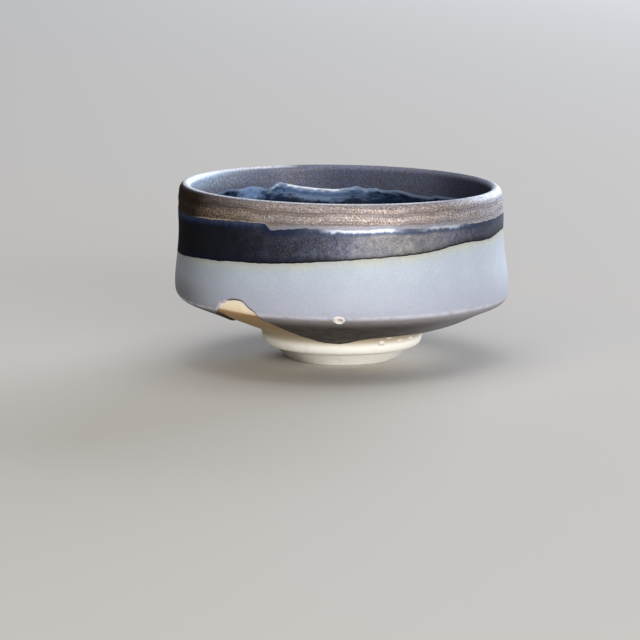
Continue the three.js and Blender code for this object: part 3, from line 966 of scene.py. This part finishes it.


# %% [markdown]
# ### Pale satin glaze
# A thick opaque glaze, cobalt blue turned milky by titania. It is greener just under the dark band, more
# lilac lower down and broken to a whitish line along the keel. Painted shade darkens it on the left, most of
# all low down and under the keel. Underneath it is grey-brown and dry, partly the colour of the thinner glaze
# and partly painted shade that deepens towards the foot, and painted light brightens it there on the right.

# %% Pale satin glaze
def pale_glaze():
    """Opaque satin glass: soft highlights, almost even colour."""
    material, tree, shader = new_material("pale_satin_glaze")
    place = add_node(tree, "ShaderNodeTexCoord", output="Object")
    over_keel, to_run, to_dark, thick_edge, left_shade, milk_and_painted_light = (
        add_node(tree, "ShaderNodeAttribute", output="Fac", attribute_name=mark)
        for mark in ("over_keel", "to_run", "to_dark", "thick_edge", "left_shade", "milk_and_painted_light")
    )
    clouds, patches, specks, flecks = (
        add_node(tree, "ShaderNodeTexNoise", {"Vector": place, "Scale": per_mm(size), "Detail": detail})
        for size, detail in ((6, 3.0), (2.2, 3.0), (0.8, 0.0), (0.45, 2.0))
    )
    colour = lay_over(tree, linear("#b0b3c0"), [
        ("#b4bec8", 1.0, (over_keel, 10, 2)),
        ("#bcbfae", 0.8, (to_dark, 0.2, 2.6)),
        ("#a9aa98", 0.6, (to_dark, 0.1, 0.8)),
        ("#a7afbc", 0.3, (clouds, 0.55, 0.4)),
        ("#9a9fa9", 0.25, (flecks, 0.42, 0.52)),
        # Painted shade: the wall darker on the left, and darker still low down on the left.
        ("#6c757d", 0.75, (left_shade, 1.0, 0.0)),
        ("#414147", 0.8, (left_shade, 1.0, 0.2), (over_keel, 1.0, 7.0)),
        ("#d4cfd6", 0.62, (over_keel, 0.2, 0.9), (over_keel, 0.0, -0.6), (patches, 0.58, 0.3)),
        # Under the keel: grey-brown, partly the colour of the thinner glaze and partly painted shade, darkest
        # towards the foot.
        ("#8a8684", 1.0, (over_keel, -0.9, 0.3)),
        ("#463f39", 1.0, (over_keel, -7.0, -0.6)),
        ("#6f6a68", 0.3, (patches, 0.62, 0.42), (over_keel, -1.2, -0.3)),
        # Painted shade: the underside darker still on the left.
        ("#2a241f", 0.8, (left_shade, 0.6, 0.2), (over_keel, -1.0, 0.1)),
        # Painted light: the underside lighter grey on the right.
        ("#918e92", 0.85, (milk_and_painted_light, 1.0, 0.0), (over_keel, -1.2, 0.3)),
        # Dark edge of the run line, partly iron gathered in the edge and partly painted shadow of its roll.
        ("#2c221a", 0.8, (to_run, 0.3, 1.1), (over_keel, -1.0, 0.2)),
        ("#3d332b", 0.85, (to_run, 0.2, 0.65), (thick_edge, 0.9, 0.1)),
        ("#ddd2cd", 0.6, (to_run, 0.1, 0.6), (thick_edge, 0.1, 0.6), (over_keel, 0.4, 0.1)),
        ("#7a8092", 0.5, (specks, 0.12, 0.15)),
    ])
    dry = {"Value": over_keel, "From Min": -1.5, "From Max": 0.3, "To Min": 0.85, "To Max": 0.48}
    gloss = add_node(tree, "ShaderNodeMapRange", dry)
    bump = add_node(tree, "ShaderNodeBump", {"Strength": 0.1, "Distance": 0.06 * MM, "Height": patches})
    fill(tree, shader, {"Base Color": colour, "Roughness": gloss, "Specular IOR Level": 0.35, "Normal": bump})
    return material


# %% [markdown]
# ### Dark band glaze
# An iron and cobalt glaze, almost black, with a skin of metal that shows silvery mauve where it is thinner.
# Right of the middle its colour is lighter and silvery, partly the thinner glaze and partly painted sheen,
# and on the left it is black, partly thick glaze and partly painted shade. It is bluer towards both edges,
# milky glaze from the rim streams into it, and its lower edge is a black line, with an olive fringe where the
# band is thinner.

# %% Dark band glaze
def dark_glaze():
    """Half metallic satin glass: dark face on, bright where the light slides over it."""
    material, tree, shader = new_material("iron_cobalt_glaze")
    place = add_node(tree, "ShaderNodeTexCoord", output="Object")
    tall_place = add_node(tree, "ShaderNodeMapping", {"Vector": place, "Scale": (1, 1, 0.5)})
    to_pale, to_bronze, thin_and_sheen, milk_and_painted_light = (
        add_node(tree, "ShaderNodeAttribute", output="Fac", attribute_name=mark)
        for mark in ("to_pale", "to_bronze", "thin_and_sheen", "milk_and_painted_light")
    )
    noises = [(place, 0.32, 2.0), (place, 1.3, 4.0), (place, 2.6, 4.0), (tall_place, 1.1, 4.0)]
    grains, mottles, clouds, streaks = (
        add_node(tree, "ShaderNodeTexNoise", {"Vector": where, "Scale": per_mm(size), "Detail": detail})
        for where, size, detail in noises
    )
    frayed = add_node(tree, "ShaderNodeMath", {0: streaks, 1: -1.4, 2: to_bronze}, operation="MULTIPLY_ADD")
    colour = lay_over(tree, linear("#090b12"), [
        # Lighter and silvery where the band is thinner and painted sheen lies, black with painted shade on
        # the left.
        ("#84879a", 1.0, (thin_and_sheen, 1.15, -0.05)),
        ("#8a8681", 0.85, (thin_and_sheen, 1.0, 0.5)),
        ("#464c64", 0.38, (clouds, 0.62, 0.42), (thin_and_sheen, 0.3, 0.0)),
        ("#b3afaa", 0.3, (mottles, 0.68, 0.5), (thin_and_sheen, 0.9, 0.1)),
        ("#20283c", 0.28, (mottles, 0.35, 0.5), (thin_and_sheen, 0.25, 0.05)),
        ("#a9abb6", 0.2, (grains, 0.64, 0.5), (thin_and_sheen, 0.5, 0.0)),
        ("#0f1119", 0.28, (grains, 0.36, 0.5)),
        ("#13203e", 0.8, (to_bronze, 0.5, 1.7), (thin_and_sheen, 0.15, 0.35)),
        ("#161d33", 0.75, (to_bronze, 0.5, 1.6), (thin_and_sheen, 0.3, 0.1), (grains, 0.75, 0.35)),
        ("#263450", 0.8, (to_bronze, 0.5, 1.6), (thin_and_sheen, 0.6, 0.1)),
        ("#10182b", 0.6, (to_pale, 0.5, 2.0), (thin_and_sheen, 0.2, 0.8)),
        ("#7f8ba3", 0.42, (frayed, -0.5, 0.7), (milk_and_painted_light, 0.8, 0.0)),
        ("#dde2eb", 0.9, (frayed, -0.65, -0.05), (milk_and_painted_light, 1.0, 0.15)),
        ("#2b261d", 0.5, (to_pale, 0.4, 1.6), (thin_and_sheen, 0.3, 0.1)),
        ("#130f0e", 0.9, (to_pale, 0.25, 0.7)),
    ])
    metal = add_node(tree, "ShaderNodeMapRange", {"Value": thin_and_sheen, "To Min": 0.0, "To Max": 0.5})
    thin_gloss = add_node(tree, "ShaderNodeMapRange", {"Value": grains, "To Min": 0.36, "To Max": 0.52})
    thick = {"Value": thin_and_sheen, "From Max": 0.4, "To Min": 0.8, "To Max": thin_gloss}
    gloss = add_node(tree, "ShaderNodeMapRange", thick)
    bump = add_node(tree, "ShaderNodeBump", {"Strength": 0.3, "Distance": 0.05 * MM, "Height": grains})
    fill(tree, shader, {
        "Base Color": colour, "Metallic": metal, "Roughness": gloss,
        "Specular IOR Level": 0.05, "Normal": bump,
    })
    return material


# %% [markdown]
# ### Bronze rim glaze
# A manganese glaze that dried to a rough skin of tiny crystals, taupe and metallic. Light grains, most on its
# throwing rings, are painted glints of its crystals. In front its lower edge is smooth and grey with milky
# glaze in places, and on the left a painted highlight runs along that edge. It is dark and dry on the left,
# the dark partly its own colour and partly painted shade, and ashy on the right. A painted highlight runs
# over the lip, wider on the right, and inside it is greyer, with painted shade on the right and a painted
# highlight on the left.

# %% Bronze rim glaze
def bronze_glaze():
    """Crystalline metallic glaze: taupe, grainy, sparkling."""
    material, tree, shader = new_material("manganese_bronze_glaze")
    place = add_node(tree, "ShaderNodeTexCoord", output="Object")
    wide_place = add_node(tree, "ShaderNodeMapping", {"Vector": place, "Scale": (1, 1, 2.5)})
    to_dark, over_lip, ring, smooth, dim, milk_and_painted_light, ash, shade, light = (
        add_node(tree, "ShaderNodeAttribute", output="Fac", attribute_name=mark)
        for mark in ("to_dark", "over_lip", "ring", "smooth", "dim", "milk_and_painted_light", "ash", "shade", "light")
    )
    grains, clouds = (
        add_node(tree, "ShaderNodeTexNoise", {"Vector": where, "Scale": per_mm(size), "Detail": detail})
        for where, size, detail in ((place, 0.33, 2.0), (wide_place, 3.5, 4.0))
    )
    colour = lay_over(tree, linear("#9c9290"), [
        ("#625855", 0.58, (ring, -0.9, 0.3)),
        ("#aa9e98", 0.4, (ring, 0.8, 0.0)),
        ("#94765a", 0.25, (clouds, 0.6, 0.45)),
        # Painted glints: light grains on the crests of the throwing rings.
        ("#e6d9c9", 0.75, (grains, 0.66, 0.53), (ring, 0.6, -0.8)),
        ("#3b322d", 0.55, (grains, 0.34, 0.47)),
        ("#8f9099", 0.9, (to_dark, 0.6, 1.3), (smooth, 0.9, 0.1)),
        ("#9a9ca7", 0.75, (ash, 1.0, 0.0), (grains, 0.75, 0.3)),
        # Painted glints: light grains on the ashy right.
        ("#e2e6ee", 0.35, (grains, 0.64, 0.52), (ash, 1.0, 0.2)),
        # Painted shade: the rim dark brown on the left, partly its own darker colour.
        ("#180e05", 0.96, (dim, 0.95, 0.0), (over_lip, -0.5, 0.2)),
        # Painted glints: golden grains where the dark left gives way to the front.
        ("#b99a70", 0.6, (grains, 0.66, 0.48), (dim, 0.5, 0.1), (dim, 0.6, 1.05), (to_dark, 2.0, 3.4)),
        # Painted highlight along the lower edge of the rim glaze on the left.
        ("#bdb9b4", 0.7, (to_dark, 0.2, 0.5), (smooth, 0.1, 0.9), (clouds, 0.52, 0.36), (dim, 0.8, 1.0)),
        ("#6d7389", 0.85, (over_lip, 0.2, -1.0)),
        ("#7a6a5c", 0.4, (clouds, 0.62, 0.5), (over_lip, 0.9, -0.3)),
        ("#a3aabb", 0.35, (grains, 0.66, 0.5), (over_lip, 0.6, -0.6)),
        ("#3b3d49", 0.35, (grains, 0.34, 0.48), (over_lip, 0.6, -0.6)),
        ("#333a4d", 0.75, (shade, 1.0, 0.0), (over_lip, 1.2, 0.4)),
        # Painted highlight: inside the rim on the left, bluish white with light and dark grains.
        ("#b5c8de", 0.8, (light, 1.0, 0.0), (over_lip, 0.1, -0.3), (over_lip, 0.8, 5.5)),
        ("#e9f2fb", 0.5, (grains, 0.66, 0.5), (light, 0.9, 0.2), (over_lip, 0.6, 0.0), (over_lip, 1.5, 6.0)),
        ("#5a6675", 0.5, (grains, 0.34, 0.5), (light, 0.9, 0.2), (over_lip, 1.2, 0.3), (over_lip, 1.5, 6.0)),
        # Painted highlight along the lip, and a wider one over the lip on the right.
        ("#f4f6fa", 0.9, (over_lip, -0.15, -0.5), (over_lip, 0.3, 0.8),
         (grains, 0.5, 0.28), (shade, 0.1, 0.5)),
        ("#e6edf6", 0.75, (over_lip, -0.8, -1.9), (over_lip, 0.3, 0.8),
         (ash, 1.0, 0.3), (grains, 0.52, 0.3)),
        ("#dde2eb", 0.7, (to_dark, 0.05, 0.4), (milk_and_painted_light, 0.9, 0.2)),
    ])
    metal = add_node(tree, "ShaderNodeMapRange", {"Value": dim, "To Min": 0.45, "To Max": 0.0})
    grain_gloss = add_node(tree, "ShaderNodeMapRange", {"Value": grains, "To Min": 0.6, "To Max": 0.38})
    half_ash = add_node(tree, "ShaderNodeMath", {0: ash, 1: 0.5}, operation="MULTIPLY")
    dry = add_node(tree, "ShaderNodeMath", {0: dim, 1: half_ash}, operation="MAXIMUM")
    outside = add_node(tree, "ShaderNodeMapRange", {"Value": dry, "To Min": grain_gloss, "To Max": 0.85})
    inside = add_node(tree, "ShaderNodeMapRange", {"Value": shade, "To Min": 0.4, "To Max": 0.62})
    lip = {"Value": over_lip, "From Min": -1.0, "From Max": 0.3, "To Min": outside, "To Max": inside}
    gloss = add_node(tree, "ShaderNodeMapRange", lip)
    bump = add_node(tree, "ShaderNodeBump", {"Strength": 0.6, "Distance": 0.08 * MM, "Height": grains})
    fill(tree, shader, {
        "Base Color": colour, "Metallic": metal, "Roughness": gloss,
        "Specular IOR Level": 0.06, "Normal": bump,
    })
    return material


# %% [markdown]
# ### Blue bowl glaze
# A glossy cobalt glaze, so dark a blue that it looks black where it is thick. At its edge titania from the
# rim glaze made it milky, in a pale line with wisps of grey-blue below it and one blue bloom on the left. The
# brightest white of that line is a painted highlight.

# %% Blue bowl glaze
def blue_glaze():
    """Clear deep glass: mirror highlights over a dark blue ground."""
    material, tree, shader = new_material("cobalt_bowl_glaze")
    place = add_node(tree, "ShaderNodeTexCoord", output="Object")
    wide_place = add_node(tree, "ShaderNodeMapping", {"Vector": place, "Scale": (1, 1, 2.5)})
    to_bronze, milk_and_painted_light, bloom = (
        add_node(tree, "ShaderNodeAttribute", output="Fac", attribute_name=mark)
        for mark in ("to_bronze", "milk_and_painted_light", "bloom")
    )
    clouds, wisps = (
        add_node(tree, "ShaderNodeTexNoise", {"Vector": where, "Scale": per_mm(size), "Detail": detail})
        for where, size, detail in ((place, 5, 3.0), (wide_place, 1.6, 5.0))
    )
    frayed = add_node(tree, "ShaderNodeMath", {0: wisps, 1: -1.6, 2: to_bronze}, operation="MULTIPLY_ADD")
    patchy = add_node(tree, "ShaderNodeMath", {0: wisps, 1: 0.9, 2: milk_and_painted_light}, operation="MULTIPLY_ADD")
    colour = lay_over(tree, linear("#13223b"), [
        ("#0b1424", 0.7, (clouds, 0.55, 0.4)),
        ("#637da3", 0.8, (frayed, 0.6, 3.0), (patchy, 1.25, 0.45)),
        ("#8fa6c6", 0.55, (frayed, 1.6, 0.8), (frayed, 1.9, 3.0), (patchy, 1.45, 0.75)),
        ("#aec4e2", 0.8, (frayed, -0.4, 0.7), (patchy, 1.2, 0.5)),
        ("#1d304c", 0.4, (wisps, 0.4, 0.5), (to_bronze, 1.6, 0.6), (bloom, 0.5, 0.9)),
        ("#8fa3c0", 0.6, (to_bronze, 0.45, 1.1)),
        # Painted highlight: the brightest white of the pale line at the bowl glaze's edge.
        ("#f2f8ff", 1.0, (frayed, -0.4, 0.05), (patchy, 1.3, 0.9), (bloom, 0.2, 0.8)),
        ("#86a6d4", 0.7, (bloom, 1.0, 0.1), (frayed, 1.4, 3.0), (wisps, 0.52, 0.28)),
    ])
    bump = add_node(tree, "ShaderNodeBump", {"Strength": 0.15, "Distance": 0.1 * MM, "Height": clouds})
    fill(tree, shader, {"Base Color": colour, "Roughness": 0.16, "Normal": bump})
    return material


# %% [markdown]
# ### Clear glaze
# Where glaze stood in drops it stayed glassy and almost white over the pale clay. The pit of the burst bubble
# is brown.

# %% Clear glaze
def clear_glaze():
    """Milky glass: bright, with a small sharp highlight."""
    material, tree, shader = new_material("clear_drop_glaze")
    place = add_node(tree, "ShaderNodeTexCoord", output="Object")
    pit = add_node(tree, "ShaderNodeAttribute", output="Fac", attribute_name="pit")
    clouds = add_node(tree, "ShaderNodeTexNoise", {"Vector": place, "Scale": per_mm(0.8), "Detail": 2.0})
    colour = lay_over(tree, linear("#ece5dc"), [
        ("#d8cfc9", 0.6, (clouds, 0.58, 0.42)),
        ("#8a7b72", 0.8, (pit, 0.9, 0.2)),
    ])
    fill(tree, shader, {"Base Color": colour, "Roughness": 0.14})
    return material


# %% [markdown]
# ## Put it together
# Each piece gets the finish of its material in the record, rides on the one body of the cup and stands for
# its solid in the frame.

# %% Assign finishes and nodes
finishes = {
    "stoneware_clay": stoneware(),
    "pale_glaze": pale_glaze(),
    "dark_glaze": dark_glaze(),
    "bronze_glaze": bronze_glaze(),
    "blue_glaze": blue_glaze(),
    "clear_glaze": clear_glaze(),
}
stands_for = {
    "turned_clay": ("clay_body", "stoneware_clay"),
    "pale_coat": ("pale_glaze_coat", "pale_glaze"),
    "dark_band": ("dark_glaze_band", "dark_glaze"),
    "bronze_rim": ("bronze_rim_glaze", "bronze_glaze"),
    "bowl_glaze": ("well_glaze", "blue_glaze"),
    "burst_bubble": ("glaze_bubble", "clear_glaze"),
    "foot_drop_1": ("foot_drip_1", "clear_glaze"),
    "foot_drop_2": ("foot_drip_2", "clear_glaze"),
    "foot_drop_3": ("foot_drip_3", "clear_glaze"),
    "foot_drop_4": ("foot_drip_4", "clear_glaze"),
}
for name, (node, slot) in stands_for.items():
    pieces[name].data.materials.append(finishes[slot])
    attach(pieces[name], "root")
    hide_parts(node)
print(f"{len(stands_for)} pieces dressed in {len(finishes)} finishes")
